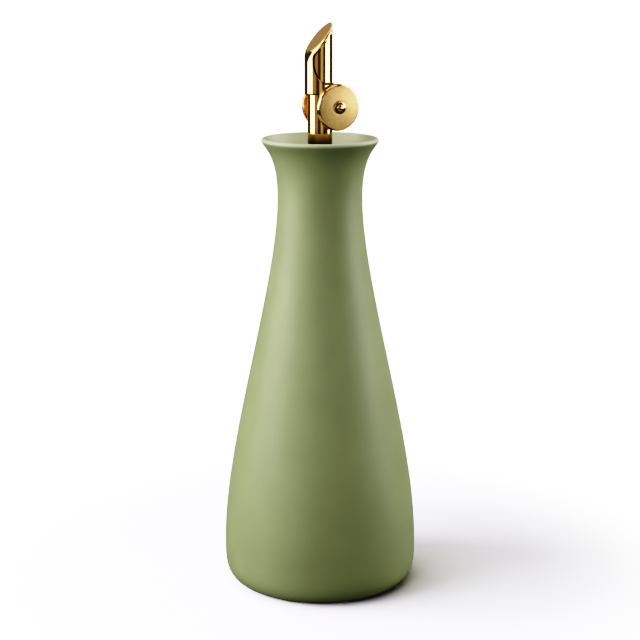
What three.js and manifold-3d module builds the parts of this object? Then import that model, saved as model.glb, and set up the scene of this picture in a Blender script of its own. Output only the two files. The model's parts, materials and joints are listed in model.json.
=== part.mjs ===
// Ceramic oil dispenser: a hollow flared bottle, a stopper in its neck, and a pour tube
// whose weighted flap falls open when the bottle is tipped.
// Millimetres. It stands on z = 0, pours towards +X, and the flap turns about a line along Y.
import * as THREE from 'three';
import { mergeVertices } from 'three/addons/utils/BufferGeometryUtils.js';
import Module from 'manifold-3d';

const wasm = await Module();
wasm.setup();

// Bottle, outside
const FOOT_RADIUS = 35;
const BELLY_RADIUS = 45.1;
const BELLY_HEIGHT = 18.1;
const NECK_RADIUS = 19.3;
const NECK_HEIGHT = 182.3;
const FLARE_RADIUS = 26.45;
const FLARE_HEIGHT = 207.3;
const FLARE_ANGLE = THREE.MathUtils.degToRad(25.8);
const LIP_RADIUS = 1.1;

// Bottle, inside and underside
const BELLY_WALL = 4;
const NECK_WALL = 3.4;
const FLOOR_THICKNESS = 5.5;
const RECESS_RADIUS = 27;
const RECESS_DEPTH = 1;

// Pour tube with its collar
const TUBE_RADIUS = 5.55;
const TUBE_BORE_RADIUS = 4.75;
const TUBE_BOTTOM = 157;
const COLLAR_RADIUS = 9.5;
const COLLAR_THICKNESS = 1.2;

// Stopper
const STOPPER_BOTTOM = 164;
const STOPPER_TOP = 193.5;
const STOPPER_RADIUS = 12.4;
const RIB_COUNT = 4;
const RIB_FIRST = 169;
const RIB_PITCH = 4.6;

// Flap: a sleeve around the tube, cut away in front, with a slanted lid on top
const SLEEVE_X = -0.68;
const SLEEVE_RADIUS = 6.3;
const SHEET = 0.45;
const LID_TIP_X = 5.6;
const LID_TIP_HEIGHT = 259.9;
const LID_SLOPE = 1.12;
const SKIRT_FRONT = 0.9;
const SKIRT_BACK = 2.2;
const LID_PLATE = 0.9;
const BEND_RADIUS = 8;
const WINDOW_BACK_X = -5.7;
const WINDOW_CORNER_HEIGHT = 242.5;
const ARM_TOP = 233.8;
const ARM_BOTTOM = 228.4;

// Hinge and weights
const HINGE_HEIGHT = 225;
const TRUNNION_RADIUS = 1.2;
const HINGE_EYE_RADIUS = 2.9;
const WEIGHT_X = 5.2;
const WEIGHT_HEIGHT = 222.8;
const WEIGHT_RADIUS = 10.4;
const WEIGHT_THICKNESS = 2.2;
const WEIGHT_INNER_Y = 6.85;
const WEIGHT_EDGE = 0.9;
const EAR_RADIUS = 4.6;

// Rivets
const SHANK_RADIUS = 1;
const WASHER_RADIUS = 2.8;
const WASHER_PROUD = 0.4;
const DOME_RADIUS = 1.45;
const DOME_HEIGHT = 0.8;

// Clearance between neighbouring pieces
const GAP = 0.3;

// How finely round shapes are cut
const BOTTLE_SIDES = 48;
const METAL_SIDES = 40;
const RIVET_SIDES = 20;

// Materials
const ceramic = new THREE.MeshStandardMaterial({ color: 0x8f9a63, roughness: 0.55, metalness: 0 });
const gold = new THREE.MeshStandardMaterial({ color: 0xd9b063, roughness: 0.12, metalness: 1 });
const satinGold = new THREE.MeshStandardMaterial({ color: 0xdcbb75, roughness: 0.3, metalness: 1 });
const rubber = new THREE.MeshStandardMaterial({ color: 0x2b2b2a, roughness: 0.8, metalness: 0 });

// Closed mesh with shared corners, ready to join and cut
function solidOf(geometry) {
  const bare = geometry.clone();
  bare.deleteAttribute('normal');
  bare.deleteAttribute('uv');
  const merged = mergeVertices(bare, 1e-4);
  const corners = merged.index.array;
  const kept = [];
  for (let i = 0; i < corners.length; i += 3) {
    const [a, b, c] = corners.slice(i, i + 3);
    if (a !== b && b !== c && c !== a) kept.push(a, b, c);
  }
  return new wasm.Manifold(new wasm.Mesh({
    numProp: 3,
    vertProperties: new Float32Array(merged.attributes.position.array),
    triVerts: new Uint32Array(kept),
  }));
}

function geometryOf(solid) {
  const mesh = solid.getMesh();
  const geometry = new THREE.BufferGeometry();
  geometry.setAttribute('position', new THREE.BufferAttribute(mesh.vertProperties, 3));
  geometry.setIndex(new THREE.BufferAttribute(mesh.triVerts, 1));
  geometry.computeVertexNormals();
  return geometry;
}

// Solid turned about Z from an outline of (radius, height) points
function turned(outline, sides) {
  return solidOf(new THREE.LatheGeometry(outline, sides).rotateX(Math.PI / 2));
}

// Upright round bar about the line (x, 0)
function uprightBar(x, radius, bottom, top) {
  const bar = new THREE.CylinderGeometry(radius, radius, top - bottom, METAL_SIDES);
  return solidOf(bar.rotateX(Math.PI / 2).translate(x, 0, (bottom + top) / 2));
}

// Round bar along Y about the point (x, z), reaching as far on both sides
function crossBar(x, z, radius, reach) {
  const bar = new THREE.CylinderGeometry(radius, radius, 2 * reach, RIVET_SIDES);
  return solidOf(bar.translate(x, 0, z));
}

// Slab whose side view, drawn in X and Z, is the shape, from y = near to y = far
function slab(shape, near, far) {
  const block = new THREE.ExtrudeGeometry(shape, { depth: far - near, bevelEnabled: false, curveSegments: 10 });
  return solidOf(block.rotateX(Math.PI / 2).translate(0, far, 0));
}

function bezier(points, steps) {
  return new THREE.CubicBezierCurve(...points).getPoints(steps);
}

function arc(centre, radius, from, to, steps) {
  const curve = new THREE.EllipseCurve(centre.x, centre.y, radius, radius, from, to, to < from);
  return curve.getPoints(steps);
}

function point(x, y) {
  return new THREE.Vector2(x, y);
}

// Bottle outline, from the foot up the outside, over the lip and down the inside
const FLARE_DIRECTION = point(Math.sin(FLARE_ANGLE), Math.cos(FLARE_ANGLE));
const LIP_CENTRE = point(
  FLARE_RADIUS - LIP_RADIUS * FLARE_DIRECTION.y,
  FLARE_HEIGHT + LIP_RADIUS * FLARE_DIRECTION.x,
);
const FLARE_PULL = 3.4;
const NECK_PULL_UP = 18.5;
const NECK_PULL_DOWN = 40.5;
const BELLY_PULL_UP = 47.8;
const FOOT_PULL_OUT = 11.1;
const FOOT_PULL_UP = 8;

function flareCurve(neckRadius, end) {
  const pull = FLARE_DIRECTION.clone().multiplyScalar(-FLARE_PULL).add(end);
  return [point(neckRadius, NECK_HEIGHT), point(neckRadius, NECK_HEIGHT + NECK_PULL_UP), pull, end];
}

function bellyCurve(bellyRadius, neckRadius) {
  return [
    point(bellyRadius, BELLY_HEIGHT),
    point(bellyRadius, BELLY_HEIGHT + BELLY_PULL_UP),
    point(neckRadius, NECK_HEIGHT - NECK_PULL_DOWN),
    point(neckRadius, NECK_HEIGHT),
  ];
}

function outerWall() {
  const foot = bezier([
    point(FOOT_RADIUS, 0),
    point(FOOT_RADIUS + FOOT_PULL_OUT, 0),
    point(BELLY_RADIUS, BELLY_HEIGHT - FOOT_PULL_UP),
    point(BELLY_RADIUS, BELLY_HEIGHT),
  ], 7);
  const belly = bezier(bellyCurve(BELLY_RADIUS, NECK_RADIUS), 14);
  const flare = bezier(flareCurve(NECK_RADIUS, point(FLARE_RADIUS, FLARE_HEIGHT)), 8);
  return [...foot, ...belly.slice(1), ...flare.slice(1)];
}

function innerWall() {
  const bore = NECK_RADIUS - NECK_WALL;
  const inside = BELLY_RADIUS - BELLY_WALL;
  const lipEnd = point(
    LIP_CENTRE.x - LIP_RADIUS * FLARE_DIRECTION.y,
    LIP_CENTRE.y + LIP_RADIUS * FLARE_DIRECTION.x,
  );
  const flare = bezier(flareCurve(bore, lipEnd), 8).reverse();
  const belly = bezier(bellyCurve(inside, bore), 12).reverse();
  const corner = bezier([
    point(inside, BELLY_HEIGHT),
    point(inside, BELLY_HEIGHT - FOOT_PULL_UP),
    point(FOOT_RADIUS, FLOOR_THICKNESS),
    point(FOOT_RADIUS - FOOT_PULL_OUT, FLOOR_THICKNESS),
  ], 5);
  return [...flare.slice(1), ...belly.slice(1), ...corner.slice(1)];
}

// Radius of the bottle's mouth and neck, inside, at a height above the waist of the neck
function boreAt(height) {
  const wall = innerWall();
  const above = wall.findIndex((p) => p.y < height);
  const [high, low] = [wall[above - 1], wall[above]];
  return THREE.MathUtils.mapLinear(height, low.y, high.y, low.x, high.x);
}

function makeBottle() {
  const lip = arc(LIP_CENTRE, LIP_RADIUS, -FLARE_ANGLE, Math.PI - FLARE_ANGLE, 8);
  const outline = [
    point(0, RECESS_DEPTH),
    point(RECESS_RADIUS, RECESS_DEPTH),
    point(RECESS_RADIUS + RECESS_DEPTH, 0),
    ...outerWall(),
    ...lip.slice(1),
    ...innerWall(),
    point(0, FLOOR_THICKNESS),
  ];
  return turned(outline, BOTTLE_SIDES);
}

// Stopper: a ribbed plug around the tube, under a flange that sits in the flaring mouth
function makeStopper() {
  const hole = TUBE_RADIUS + GAP;
  const chamfer = 1.5;
  const ribHeight = 1.8;
  const flangeBottom = STOPPER_TOP - 3;
  const outline = [
    point(hole, STOPPER_BOTTOM),
    point(STOPPER_RADIUS - chamfer, STOPPER_BOTTOM),
    point(STOPPER_RADIUS, STOPPER_BOTTOM + chamfer),
  ];
  for (let rib = 0; rib < RIB_COUNT; rib += 1) {
    const bottom = RIB_FIRST + rib * RIB_PITCH;
    const tip = NECK_RADIUS - NECK_WALL - GAP;
    outline.push(
      point(STOPPER_RADIUS, bottom),
      point(tip - 0.4, bottom + 0.3 * ribHeight),
      point(tip, bottom + 0.6 * ribHeight),
      point(STOPPER_RADIUS, bottom + ribHeight),
    );
  }
  outline.push(
    point(STOPPER_RADIUS, flangeBottom),
    point(boreAt(flangeBottom) - GAP, flangeBottom),
    point(boreAt(STOPPER_TOP - 1) - GAP, STOPPER_TOP - 1),
    point(boreAt(STOPPER_TOP - 1) - GAP - 1, STOPPER_TOP),
    point(hole, STOPPER_TOP),
    point(hole, STOPPER_BOTTOM),
  );
  return turned(outline, METAL_SIDES);
}

// Height of the lid's upper face above x, and of faces set below it
function lidHeight(x, below) {
  return LID_TIP_HEIGHT + LID_SLOPE * (x - LID_TIP_X) - below;
}

// Height of the skirt's lower edge at x, and of lines set below it: it is deeper towards the back
function skirtHeight(x, below) {
  const backward = (LID_TIP_X - x) / (LID_TIP_X - WINDOW_BACK_X);
  return lidHeight(x, THREE.MathUtils.lerp(SKIRT_FRONT, SKIRT_BACK, backward) + below);
}

// Side view of all that lies below a slanted plane; at the back the plane bends down
function belowLid(below, back, bottom) {
  const front = 12;
  const corner = point(back, lidHeight(back, below));
  const bend = BEND_RADIUS * Math.tan((Math.PI / 2 - Math.atan(LID_SLOPE)) / 2);
  const run = bend / Math.hypot(1, LID_SLOPE);
  const shape = new THREE.Shape();
  shape.moveTo(back, bottom);
  shape.lineTo(back, corner.y - bend);
  shape.quadraticCurveTo(corner.x, corner.y, corner.x + run, corner.y + run * LID_SLOPE);
  shape.lineTo(front, lidHeight(front, below));
  shape.lineTo(front, bottom);
  return shape;
}

// Pour tube: open right through, cut off slanted under the lid, with a trunnion each side
function makePourTube() {
  const collarBottom = STOPPER_TOP + GAP;
  const collarTop = collarBottom + COLLAR_THICKNESS;
  const roundOff = 0.4;
  const top = LID_TIP_HEIGHT + 2;
  const outline = [
    point(0, TUBE_BOTTOM),
    point(TUBE_RADIUS, TUBE_BOTTOM),
    point(TUBE_RADIUS, collarBottom),
    point(COLLAR_RADIUS - roundOff, collarBottom),
    point(COLLAR_RADIUS, collarBottom + roundOff),
    point(COLLAR_RADIUS, collarTop - roundOff),
    point(COLLAR_RADIUS - roundOff, collarTop),
    point(TUBE_RADIUS + roundOff, collarTop),
    point(TUBE_RADIUS, collarTop + roundOff),
    point(TUBE_RADIUS, top),
    point(0, top),
  ];
  const bar = turned(outline, METAL_SIDES)
    .add(crossBar(0, HINGE_HEIGHT, TRUNNION_RADIUS, SLEEVE_RADIUS))
    .subtract(uprightBar(0, TUBE_BORE_RADIUS, TUBE_BOTTOM - 1, top + 1));
  const wide = 2 * COLLAR_RADIUS;
  const keep = new THREE.Shape();
  keep.moveTo(-wide, TUBE_BOTTOM - 1);
  keep.lineTo(-wide, skirtHeight(-wide, 1.5 * GAP));
  keep.lineTo(wide, skirtHeight(wide, 1.5 * GAP));
  keep.lineTo(wide, TUBE_BOTTOM - 1);
  return bar.intersect(slab(keep, -wide, wide));
}

// Side view of the opening between the lid, the back strap and the lower band
function windowShape() {
  const front = 12;
  const cornerX = 0;
  const topCorner = 1.3;
  const shape = new THREE.Shape();
  shape.moveTo(front, ARM_TOP);
  shape.lineTo(cornerX, ARM_TOP);
  shape.absellipse(
    cornerX, WINDOW_CORNER_HEIGHT, cornerX - WINDOW_BACK_X, WINDOW_CORNER_HEIGHT - ARM_TOP,
    1.5 * Math.PI, Math.PI, true,
  );
  shape.lineTo(WINDOW_BACK_X, skirtHeight(WINDOW_BACK_X, topCorner));
  shape.lineTo(WINDOW_BACK_X + topCorner / 2, skirtHeight(WINDOW_BACK_X + topCorner / 2, 0));
  shape.lineTo(front, skirtHeight(front, 0));
  return shape;
}

// Side view of an ear: from the band down round the hinge and forward to the weight's centre
function earShape() {
  const shape = new THREE.Shape();
  shape.moveTo(-HINGE_EYE_RADIUS, ARM_BOTTOM + 1);
  shape.lineTo(SLEEVE_X, ARM_TOP);
  shape.lineTo(WEIGHT_X - 1, ARM_TOP);
  shape.quadraticCurveTo(WEIGHT_X + EAR_RADIUS, ARM_TOP, WEIGHT_X + EAR_RADIUS, WEIGHT_HEIGHT);
  shape.absarc(WEIGHT_X, WEIGHT_HEIGHT, EAR_RADIUS, 0, -Math.PI / 2, true);
  shape.lineTo(0, HINGE_HEIGHT - HINGE_EYE_RADIUS);
  shape.absarc(0, HINGE_HEIGHT, HINGE_EYE_RADIUS, 1.5 * Math.PI, Math.PI, true);
  return shape;
}

function box(low, high) {
  const size = high.clone().sub(low);
  const centre = low.clone().add(high).multiplyScalar(0.5);
  return solidOf(new THREE.BoxGeometry(size.x, size.y, size.z).translate(centre.x, centre.y, centre.z));
}

function makeFlap() {
  const wide = 2 * SLEEVE_RADIUS;
  const top = LID_TIP_HEIGHT + 2;
  const outside = uprightBar(SLEEVE_X, SLEEVE_RADIUS, ARM_BOTTOM, top)
    .intersect(slab(belowLid(0, SLEEVE_X - SLEEVE_RADIUS, ARM_BOTTOM), -wide, wide));
  const innerBack = SLEEVE_X - SLEEVE_RADIUS + SHEET;
  const inside = uprightBar(SLEEVE_X, SLEEVE_RADIUS - SHEET, ARM_BOTTOM - 1, top)
    .intersect(slab(belowLid(LID_PLATE, innerBack, ARM_BOTTOM - 1), -wide, wide));
  const front = box(
    new THREE.Vector3(SLEEVE_X, -wide, ARM_BOTTOM - 1),
    new THREE.Vector3(wide, wide, ARM_TOP + 0.01),
  );
  const sleeve = outside.subtract(inside).subtract(slab(windowShape(), -wide, wide)).subtract(front);
  const ears = slab(earShape(), -SLEEVE_RADIUS, SLEEVE_RADIUS)
    .subtract(box(
      new THREE.Vector3(-wide, -SLEEVE_RADIUS + SHEET, HINGE_HEIGHT - wide),
      new THREE.Vector3(wide, SLEEVE_RADIUS - SHEET, ARM_TOP + 1),
    ));
  return sleeve.add(ears)
    .subtract(crossBar(0, HINGE_HEIGHT, TRUNNION_RADIUS + GAP, wide))
    .subtract(crossBar(WEIGHT_X, WEIGHT_HEIGHT, SHANK_RADIUS + GAP, wide));
}

// Weight: a thick disc with a softly rounded outer edge and a seat for its rivet
function makeWeight() {
  const seatRadius = WASHER_RADIUS + GAP;
  const seatDepth = 2 * GAP;
  const innerEdge = 0.3;
  const edge = arc(
    point(WEIGHT_RADIUS - WEIGHT_EDGE, WEIGHT_THICKNESS - WEIGHT_EDGE), WEIGHT_EDGE, 0, Math.PI / 2, 4,
  );
  const outline = [
    point(SHANK_RADIUS + GAP, 0),
    point(WEIGHT_RADIUS - innerEdge, 0),
    point(WEIGHT_RADIUS, innerEdge),
    ...edge,
    point(seatRadius, WEIGHT_THICKNESS),
    point(seatRadius, WEIGHT_THICKNESS - seatDepth),
    point(SHANK_RADIUS + GAP, WEIGHT_THICKNESS - seatDepth),
    point(SHANK_RADIUS + GAP, 0),
  ];
  return turned(outline, METAL_SIDES);
}

// Rivet: a shank through weight and ear, a washer-like head and a dome on it
function makeRivet() {
  const shankEnd = SLEEVE_RADIUS - SHEET - WEIGHT_INNER_Y;
  const headBottom = WEIGHT_THICKNESS - GAP;
  const headTop = WEIGHT_THICKNESS + WASHER_PROUD;
  const chamfer = 0.25;
  const dome = new THREE.EllipseCurve(0, headTop, DOME_RADIUS, DOME_HEIGHT, 0, Math.PI / 2).getPoints(5);
  dome[dome.length - 1].x = 0;
  const outline = [
    point(0, shankEnd),
    point(SHANK_RADIUS, shankEnd),
    point(SHANK_RADIUS, headBottom),
    point(WASHER_RADIUS, headBottom),
    point(WASHER_RADIUS, headTop - chamfer),
    point(WASHER_RADIUS - chamfer, headTop),
    ...dome,
  ];
  return turned(outline, RIVET_SIDES);
}

function named(name, solid, material) {
  const mesh = new THREE.Mesh(geometryOf(solid), material);
  mesh.name = name;
  return mesh;
}

const dispenser = new THREE.Group();
dispenser.add(named('bottle', makeBottle(), ceramic));

const pourer = new THREE.Group();
pourer.add(named('stopper', makeStopper(), rubber));
pourer.add(named('pour_tube', makePourTube(), gold));
dispenser.add(pourer);

const swinging = new THREE.Group();
swinging.add(named('flap', makeFlap(), gold));
for (const [side, facing] of [['near', -1], ['far', 1]]) {
  const pair = new THREE.Group();
  pair.add(named(`weight_${side}`, makeWeight(), satinGold));
  pair.add(named(`rivet_${side}`, makeRivet(), gold));
  pair.position.set(WEIGHT_X, facing * WEIGHT_INNER_Y, WEIGHT_HEIGHT);
  pair.rotation.x = -facing * Math.PI / 2;
  swinging.add(pair);
}
dispenser.add(swinging);

export default dispenser;
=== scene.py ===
import json
from math import acos, atan, cos, degrees, hypot, pi, radians, sin, sqrt, tan

import bmesh
import bpy
from bpy.props import FloatProperty, FloatVectorProperty, PointerProperty
from mathutils import Matrix, Vector
from mathutils.geometry import interpolate_bezier


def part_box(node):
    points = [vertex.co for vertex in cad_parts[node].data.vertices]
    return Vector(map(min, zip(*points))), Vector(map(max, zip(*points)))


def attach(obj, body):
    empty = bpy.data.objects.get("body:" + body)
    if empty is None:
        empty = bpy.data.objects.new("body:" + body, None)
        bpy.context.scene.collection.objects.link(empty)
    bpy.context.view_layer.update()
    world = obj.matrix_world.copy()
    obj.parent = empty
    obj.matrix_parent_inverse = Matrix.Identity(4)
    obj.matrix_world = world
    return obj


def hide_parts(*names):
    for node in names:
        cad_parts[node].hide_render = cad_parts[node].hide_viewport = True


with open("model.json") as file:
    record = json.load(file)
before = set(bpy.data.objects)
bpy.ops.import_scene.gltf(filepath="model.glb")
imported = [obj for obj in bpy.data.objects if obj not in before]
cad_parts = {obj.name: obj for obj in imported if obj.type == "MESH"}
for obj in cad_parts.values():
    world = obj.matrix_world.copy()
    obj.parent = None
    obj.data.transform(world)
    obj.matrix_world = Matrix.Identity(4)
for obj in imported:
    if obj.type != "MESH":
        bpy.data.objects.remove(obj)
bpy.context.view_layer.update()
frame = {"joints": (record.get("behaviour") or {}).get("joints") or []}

bl_info = {
    "name": "Ceramic oil dispenser",
    "version": (1, 0, 0),
    "blender": (4, 5, 0),
    "location": "3D View > Sidebar > Dispenser",
    "description": "Dresses the solids of an oil dispenser as glazed ceramic, rubber and gold",
    "category": "Add Mesh",
}

MM = 0.001
ORIGIN = Vector((0, 0, 0))
UPWARD = Vector((0, 0, 1))

# Places and sizes read from the solids
BOTTLE_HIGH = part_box("bottle")[1]
TUBE_LOW, TUBE_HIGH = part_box("pour_tube")
STOPPER_LOW, STOPPER_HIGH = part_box("stopper")
FLAP_LOW, FLAP_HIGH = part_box("flap")
WEIGHT_LOW, WEIGHT_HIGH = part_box("weight_far")
RIVET_LOW, RIVET_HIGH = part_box("rivet_far")
HINGE = Vector(frame["joints"][0]["pos_m"])
WEIGHT_CENTRE = (WEIGHT_LOW + WEIGHT_HIGH) / 2
WEIGHT_RADIUS = (WEIGHT_HIGH.x - WEIGHT_LOW.x) / 2
WEIGHT_THICKNESS = WEIGHT_HIGH.y - WEIGHT_LOW.y

# How finely round shapes are divided, and the turn from which an edge is shown crisp
BOTTLE_SIDES = 160
METAL_SIDES = 112
RIVET_SIDES = 64
TUBE_ROWS = 40
SHARP = radians(38)


# Settings

def length(name, description, default):
    return FloatProperty(name=name, description=description, default=default, min=0.0, unit="LENGTH")


def angle(name, description, default):
    return FloatProperty(name=name, description=description, default=radians(default), unit="ROTATION")


def share(name, description, default):
    return FloatProperty(
        name=name, description=description, default=default, min=0.0, max=1.0, subtype="FACTOR",
    )


def number(name, description, default):
    return FloatProperty(name=name, description=description, default=default)


def colour(name, description, default):
    return FloatVectorProperty(
        name=name, description=description, default=default, min=0.0, max=1.0, size=3, subtype="COLOR",
    )


class BottleSettings(bpy.types.PropertyGroup):
    """Sizes and glaze of the bottle."""
    foot_radius: length("Foot", "Radius where the wall leaves the table", 35 * MM)
    belly_radius: length("Belly", "Largest radius of the bottle", 45.095 * MM)
    belly_height: length("Belly height", "Height of the largest radius", 18.1 * MM)
    neck_radius: length("Neck", "Radius of the waist under the mouth", 19.3 * MM)
    neck_height: length("Neck height", "Height of the waist", 182.3 * MM)
    flare_radius: length("Mouth", "Radius where the flare meets the lip", 26.45 * MM)
    flare_height: length("Mouth height", "Height where the flare meets the lip", 207.3 * MM)
    flare_angle: angle("Flare angle", "Lean of the wall at the mouth, from upright", 25.8)
    lip_radius: length("Lip", "Radius of the rounded lip", 1.1 * MM)
    belly_wall: length("Belly wall", "Thickness of the wall at the belly", 4 * MM)
    neck_wall: length("Neck wall", "Thickness of the wall at the waist", 3.4 * MM)
    floor: length("Floor", "Height of the inside floor", 5.5 * MM)
    recess_radius: length("Recess", "Radius of the shallow recess in the foot", 27 * MM)
    recess_depth: length("Recess depth", "Depth of the recess in the foot", 1 * MM)
    glaze: colour("Glaze", "Sage green of the glaze", (0.45, 0.5, 0.285))
    # Pale colour for worn glaze edges, and also painted light: the lip and the inside of the mouth are tinted
    # towards it to look lit
    thin_glaze_and_painted_light: colour("Thin glaze", "Colour where the glaze thins over an edge", (0.67, 0.7, 0.51))
    clay: colour("Clay", "Bare fired clay of the foot ring", (0.52, 0.44, 0.34))
    gloss: share("Roughness", "Roughness of the satin glaze", 0.42)


class PourerSettings(bpy.types.PropertyGroup):
    """Sizes and finishes of the tube and stopper."""
    tube_radius: length("Tube", "Outer radius of the pour tube", 5.55 * MM)
    bore_radius: length("Bore", "Inner radius of the pour tube", 4.75 * MM)
    collar_radius: length("Collar", "Radius of the collar that rests on the stopper", TUBE_HIGH.x)
    collar_thickness: length("Collar thickness", "Thickness of the collar", 1.2 * MM)
    pin_radius: length("Pin", "Radius of the hinge pin's two ends", 1.2 * MM)
    stopper_radius: length("Stopper", "Radius of the stopper between its ribs", 12.4 * MM)
    rib_radius: length("Ribs", "Radius of the stopper over its ribs", 15.6 * MM)
    gold: colour("Gold", "Colour of the polished gold", (0.88, 0.58, 0.25))
    polish: share("Roughness", "Roughness of the polished gold", 0.06)
    rubber: colour("Rubber", "Colour of the stopper", (0.018, 0.018, 0.017))


class FlapSettings(bpy.types.PropertyGroup):
    """Sizes of the flap."""
    sleeve_radius: length("Sleeve", "Outer radius of the sleeve", FLAP_HIGH.y)
    sheet: length("Sheet", "Thickness of the sheet metal", 0.45 * MM)
    slope: number("Slope", "Rise of the lid for each unit that it runs forward", 1.12)
    bend_radius: length("Bend", "Radius of the bend from the lid into the back strap", 8 * MM)
    front_edge: length("Front edge", "Rounding of the lid's edge at its tip", 0.5 * MM)
    back_edge: length("Back edge", "Rounding of the lid's edge at its sides and back", 1.7 * MM)
    skirt_front: length("Front skirt", "Depth of the skirt under the tip", 0.9 * MM)
    skirt_back: length("Back skirt", "Depth of the skirt beside the back strap", 2.2 * MM)
    window_back: length("Window back", "Distance of the window's back edge behind the tube's axis", 5.7 * MM)
    window_corner: length("Window corner", "Height where the window's back edge starts to curve", 242.5 * MM)
    arm_top: length("Arm top", "Height of the upper edge of the arms", 233.8 * MM)
    arm_bottom: length("Arm bottom", "Height of the sleeve's lower edge", 228.4 * MM)


class WeightSettings(bpy.types.PropertyGroup):
    """Sizes and finish of the two weights and their rivets."""
    shoulder: length("Shoulder", "Radius of the rounding from the side up to the face", 1.7 * MM)
    shoulder_turn: angle("Shoulder turn", "How far the rounding turns before the face's crisp edge", 55)
    crown: length("Crown", "How much higher the face is in its middle than at its edge", 0.25 * MM)
    washer_radius: length("Washer", "Radius of the rivet's washer", (RIVET_HIGH.x - RIVET_LOW.x) / 2)
    washer_proud: length("Washer height", "How far the washer stands out of the weight", 0.65 * MM)
    dome_radius: length("Dome", "Radius of the rivet's dome", 1.4 * MM)
    shank_radius: length("Shank", "Radius of the rivet's shank", 1 * MM)
    gold: colour("Satin gold", "Colour of the weights", (0.95, 0.68, 0.33))
    satin: share("Roughness", "Roughness of the weights' faces", 0.3)


class StudioSettings(bpy.types.PropertyGroup):
    """Camera, lights and floor."""
    camera_distance: length("Camera distance", "Level distance from the axis to the camera", 0.6815)
    camera_height: length("Camera height", "Height of the camera over the floor", 0.2857)
    camera_turn: angle("Camera turn", "Camera's turn about the axis, to the left of the front", 27)
    aim_height: length("Aim height", "Height that the camera looks at", 0.1245)
    lens: FloatProperty(name="Lens", description="Focal length", default=85.0, unit="CAMERA")
    light_distance: length("Light distance", "Distance of the soft boxes", 1.2)
    lights: number("Lights", "Brightness of all soft boxes", 1.0)
    top_light: number("Top light", "Brightness of the overhead soft box beside the others", 0.75)
    top_height: length("Top height", "Height of the overhead soft box", 1.5)
    top_size: length("Top size", "Width of the overhead soft box", 1.0)
    room: number("Room", "Brightness of the dim room, as the metal mirrors it", 0.08)
    backdrop: number("Backdrop", "Brightness of the paper high behind, as the metal mirrors it", 0.24)
    white: number("White", "Brightness of the backdrop and the far floor, as the camera sees them", 1.5)
    floor_radius: length("Floor", "Radius of the round floor", 1.5)


# Outlines, as points in the plane of X and Z

def at(radius, height):
    return Vector((radius, 0.0, height))


def curve(points, steps):
    """Points of the cubic curve over two ends and two pulls."""
    start, pull_start, pull_end, end = points
    return interpolate_bezier(start, pull_start, pull_end, end, steps + 1)


def arc(centre, radius, start, end, steps, squash=1.0):
    """Points of an arc, its angles in degrees from the X axis towards Z."""
    turn = [radians(start + (end - start) * step / steps) for step in range(steps + 1)]
    return [centre + at(radius * cos(a), radius * squash * sin(a)) for a in turn]


def rounded(outline, corner, radius, steps=4):
    """Replaces a corner of an outline by an arc-like curve that starts its radius before the corner."""
    before, here, after = outline[corner - 1], outline[corner], outline[(corner + 1) % len(outline)]
    start = here + (before - here).normalized() * radius
    end = here + (after - here).normalized() * radius
    bend = curve((start, start.lerp(here, 0.55), end.lerp(here, 0.55), end), steps)
    return outline[:corner] + bend + outline[corner + 1:]


def rounded_all(outline, radii):
    """Rounds several corners, given as {corner: radius}."""
    for corner in sorted(radii, reverse=True):
        outline = rounded(outline, corner, radii[corner])
    return outline


# Skins

def turned(outline, sides, closed):
    """Spins an outline once round the Z axis into a closed skin that faces outwards."""
    bm = bmesh.new()
    corners = [bm.verts.new(point) for point in outline]
    ends = corners[1:] + corners[:1] if closed else corners[1:]
    edges = [bm.edges.new(pair) for pair in zip(corners, ends)]
    bmesh.ops.spin(
        bm, geom=corners + edges, cent=ORIGIN, axis=UPWARD, angle=2 * pi, steps=sides, use_merge=True,
    )
    return tidied(bm)


def tidied(bm):
    """Closes seams and poles and turns all faces outwards."""
    bmesh.ops.remove_doubles(bm, verts=bm.verts, dist=0.001 * MM)
    bmesh.ops.recalc_face_normals(bm, faces=bm.faces)
    return bm


def mesh_from(bm, name):
    mesh = bpy.data.meshes.new(name)
    bm.to_mesh(mesh)
    bm.free()
    return mesh


def joined_with(bm, tools, operation):
    """Adds the tools to a closed skin, or cuts them out of it, and returns the result."""
    block = bpy.data.objects.new("block", mesh_from(bm, "block"))
    bpy.context.scene.collection.objects.link(block)
    helpers = [block]
    for tool in tools:
        cutter = bpy.data.objects.new("cutter", mesh_from(tool, "cutter"))
        bpy.context.scene.collection.objects.link(cutter)
        helpers.append(cutter)
        step = block.modifiers.new("step", "BOOLEAN")
        step.operation = operation
        step.solver = "EXACT"
        step.object = cutter
    made = bpy.data.meshes.new_from_object(block.evaluated_get(bpy.context.evaluated_depsgraph_get()))
    result = bmesh.new()
    result.from_mesh(made)
    for helper in helpers:
        bpy.data.objects.remove(helper)
    bpy.data.meshes.remove(made)
    return result


def cross_bar(x, z, radius, near, far):
    """Round bar along Y."""
    bm = bmesh.new()
    lay = Matrix.Translation((x, (near + far) / 2, z)) @ Matrix.Rotation(pi / 2, 4, "X")
    bmesh.ops.create_cone(
        bm, cap_ends=True, segments=RIVET_SIDES, radius1=radius, radius2=radius, depth=far - near, matrix=lay,
    )
    return bm


def mark_edges(bm):
    """Stores at each corner how sharply the skin turns outwards there, from 0 to 1, for wear on edges."""
    layer = bm.verts.layers.float.new("edge")
    soft, hard = radians(6), radians(26)
    for vert in bm.verts:
        turns = [edge.calc_face_angle_signed(0.0) for edge in vert.link_edges if edge.is_manifold]
        vert[layer] = min(1.0, max(0.0, (max(turns, default=0.0) - soft) / (hard - soft)))


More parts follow.
